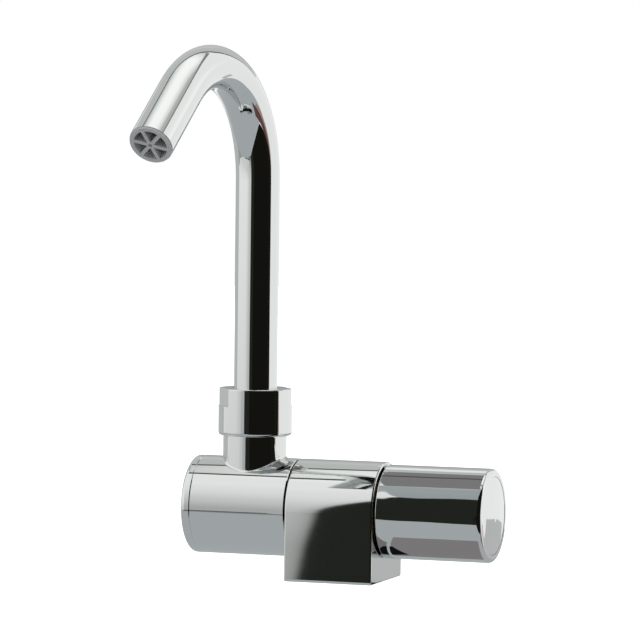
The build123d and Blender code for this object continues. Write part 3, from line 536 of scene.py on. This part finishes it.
# %% [markdown]
# Over the cloth hangs a grey card. Its left edge leans, so that the knob sees it and the foot doesn't. Low
# over the knob there is one more small shade, which faces down only, and on the table under the knob lies
# the dark of its own contact shadow.

# %% Grey cards round the knob
lean = Vector((-0.305, 0, 0.952))
level_edge = Vector((0.952, 0, 0.305))
upper_corner = Vector((-132, -410, 358))
upper_width, upper_height = 700, 900
soft_grey = card_material("soft_grey_card", "ABB0B4")
stand_card("upper_card", upper_corner + level_edge * upper_width / 2 + lean * upper_height / 2,
           level_edge, lean, upper_width, upper_height, soft_grey)
down = (0, -1, 0)
stand_card("knob_shade", (19, -4, 102), X, down, 44, 64, one_sided("shade_grey", "878686"))
stand_card("knob_shade_fold", (19, 5, 101.8), X, down, 44, 5, one_sided("shade_fold_grey", "575555"))
stand_card("knob_shadow", (36, -12, -1), X, Y, 37, 28, one_sided("contact_shadow_grey", "8A8688"))
cornered_card("foot_shadow", [(17.2, -13, -0.8), (18.5, -13, -0.8), (24, -2, -0.8), (17.2, 0, -0.8)],
              one_sided("deep_contact_shadow", "141516"))
stand_card("knob_glint", (10, 63, 102), X, down, 44, 30, one_sided("glint_white", "FFFFFF"))
print("upper card", upper_width, "by", upper_height, "mm")

# %% [markdown]
# The softbox overhead is the brightest thing in the tail of the spout. Its frame and the seams of the
# ceiling cloth draw the thin dark lines along the tail, the barrel and the foot. Left of the long seam the
# cloth is grey, which shows as the grey rim of the bend.

# %% Softbox and ceiling
box_level = 700
seam = [(-400, -125), (-415, 60), (-350, 180), (-200, 300), (0, 470), (120, 620), (250, 950), (400, 1500),
        (700, 3500)]
right_seam = [(540, -110), (520, 60), (400, 190), (250, 285), (60, 460)]


def seam_cards(name, points, width, level, material):
    """Narrow cards end to end along a line over the plan."""
    for number, (start, end) in enumerate(zip(points, points[1:])):
        along = (Vector(end) - Vector(start)).normalized()
        half = Vector((-along.y, along.x)) * width / 2
        corners = [Vector(start) - half, Vector(end) - half, Vector(end) + half, Vector(start) + half]
        cornered_card(f"{name}_{number}", [(*corner, level) for corner in corners], material)


frame_dark = card_material("softbox_frame_dark", "555555")
seam_cards("seam", seam, 48, box_level, frame_dark)
seam_cards("front_frame", [(-400, -125), (540, -125)], 46, box_level, frame_dark)
seam_cards("right_seam", right_seam, 80, box_level + 1, card_material("right_seam_grey", "8E8E8E"))
ceiling_grey = card_material("ceiling_cloth_grey", "CACDCC")
ceiling_left = -1050
for number, (start, end) in enumerate(zip(seam[1:], seam[2:])):
    cornered_card(f"ceiling_{number}", [(*start, box_level + 2), (*end, box_level + 2),
                                        (ceiling_left, end[1], box_level + 2),
                                        (ceiling_left, start[1], box_level + 2)], ceiling_grey)
cornered_card("softbox_rim", [(-400, -125, box_level + 6), (560, -125, box_level + 6),
                              (560, 60, box_level + 6), (60, 470, box_level + 6)],
              card_material("softbox_rim_grey", "C0C3C2"))
cornered_card("softbox_rim_left", [(-400, -125, box_level + 6.5), (60, 470, box_level + 6.5),
                                   (0, 470, box_level + 6.5), (-415, 100, box_level + 6.5)],
              card_material("softbox_rim_left_grey", "C0C3C2"))
glow_steps = [(0, 1.0), (50, 0.9), (100, 0.74), (180, 0.46), (250, 0.06), (280, 0.0)]
soft_card("softbox_cloth", (-20, 85, box_level + 4), X, Y, 160, 230, glow_steps, "FFFFFF", 1.22)
soft_card("white_ceiling", (2600, 300, box_level + 20), X, Y, 1600, 1600,
          [(0, 1.0), (500, 0.7), (900, 0.2), (1200, 0.0)], "FFFFFF", 1.18)
print("softbox at", box_level, "mm, long seam in", len(seam) - 1, "pieces")

# %% [markdown]
# Grey walls on the left and behind close the room. The cap in the knob's end and the foot's right face show
# a low grey wall far behind.

# %% Walls
left_grey = card_material("left_wall_grey", "C5C7C6")
stand_card("left_wall", (-700, 430, 160), Y, Z, 740, 520, left_grey)
rear_height = 640
rear_stops = [(0, "9EA1A0"), (160, "A4A7A6"), (325, "C2C5C5"), (505, "CFD2D2"), (640, "D3D6D6")]
stand_card("rear_wall", (-407.5, 700, 60 + rear_height / 2), X, Z, 615, rear_height,
           graded("rear_wall_grey", rear_height, rear_stops))
stand_card("low_wall", (310, 850, -100), X, Z, 210, 68, card_material("low_wall_grey", "C4C5C6"))

# %% [markdown]
# The light: a world that is white for the camera and for mirrors and a plain grey for everything else, one
# large soft lamp above on the left and a weaker one on the right. Neither lamp shows in the chrome.

# %% World, lamps and floor
world = bpy.data.worlds.new("studio_world")
bpy.context.scene.world = world
world.use_nodes = True
sky = world.node_tree
sky.nodes.clear()
sky_output = add_node(sky, "ShaderNodeOutputWorld")
ray = add_node(sky, "ShaderNodeLightPath")
seen = add_node(sky, "ShaderNodeMath", {"operation": "MAXIMUM"},
                {0: ray.outputs["Is Camera Ray"], 1: ray.outputs["Is Glossy Ray"]})
seen_or_through = add_node(sky, "ShaderNodeMath", {"operation": "MAXIMUM"},
                           {0: seen.outputs["Value"], 1: ray.outputs["Is Transmission Ray"]})
ambient = add_node(sky, "ShaderNodeBackground", {"Color": (1, 1, 1, 1), "Strength": 0.55})
white = add_node(sky, "ShaderNodeBackground", {"Color": (1, 1, 1, 1), "Strength": 1.0})
choice = add_node(sky, "ShaderNodeMixShader", {}, {"Fac": seen_or_through.outputs["Value"]})
sky.links.new(ambient.outputs["Background"], choice.inputs[1])
sky.links.new(white.outputs["Background"], choice.inputs[2])
sky.links.new(choice.outputs["Shader"], sky_output.inputs["Surface"])


def soft_lamp(name, place, size, watts):
    """A rectangular lamp aimed at the middle of the tap, which mirrors and the camera don't see."""
    lamp_data = bpy.data.lights.new(name, "AREA")
    lamp_data.shape = "RECTANGLE"
    lamp_data.size, lamp_data.size_y = size
    lamp_data.energy = watts
    lamp = bpy.data.objects.new(name, lamp_data)
    bpy.context.scene.collection.objects.link(lamp)
    lamp.location = place
    lamp.rotation_euler = (lamp_aim - Vector(place)).to_track_quat("-Z", "Y").to_euler()
    lamp.visible_glossy = False
    lamp.visible_camera = False
    return lamp


lamp_aim = Vector((0, 0, 80)) * MM
soft_lamp("key_softbox", (-0.7, -0.8, 1.1), (0.9, 0.9), 9)
soft_lamp("fill_softbox", (0.9, -0.5, 0.7), (0.7, 0.7), 3)

floor_material, floor_tree, floor_output = start_material("pale_floor")
floor_ray = add_node(floor_tree, "ShaderNodeLightPath")
matte = add_node(floor_tree, "ShaderNodeBsdfDiffuse", {"Color": linear("E6E6E6")})
lift = add_node(floor_tree, "ShaderNodeEmission", {"Color": (1, 1, 1, 1)},
                {"Strength": floor_ray.outputs["Is Camera Ray"]})
floor_sum = add_node(floor_tree, "ShaderNodeAddShader")
floor_tree.links.new(matte.outputs["BSDF"], floor_sum.inputs[0])
floor_tree.links.new(lift.outputs["Emission"], floor_sum.inputs[1])
floor_tree.links.new(floor_sum.outputs["Shader"], floor_output.inputs["Surface"])
# The folded hook reaches 68 mm below the foot, as it does over a sink, so the floor lies under that, just
# below the table that the chrome shows.
bpy.ops.object.select_all(action="DESELECT")
bpy.ops.mesh.primitive_plane_add(size=8, location=(0, 0, (table_level - 1) * MM))
bpy.ops.object.transform_apply(location=True, rotation=False, scale=False)
floor = bpy.context.active_object
floor.name = "floor"
floor.data.materials.append(floor_material)
floor.visible_glossy = False
print("floor at", table_level - 1, "mm")
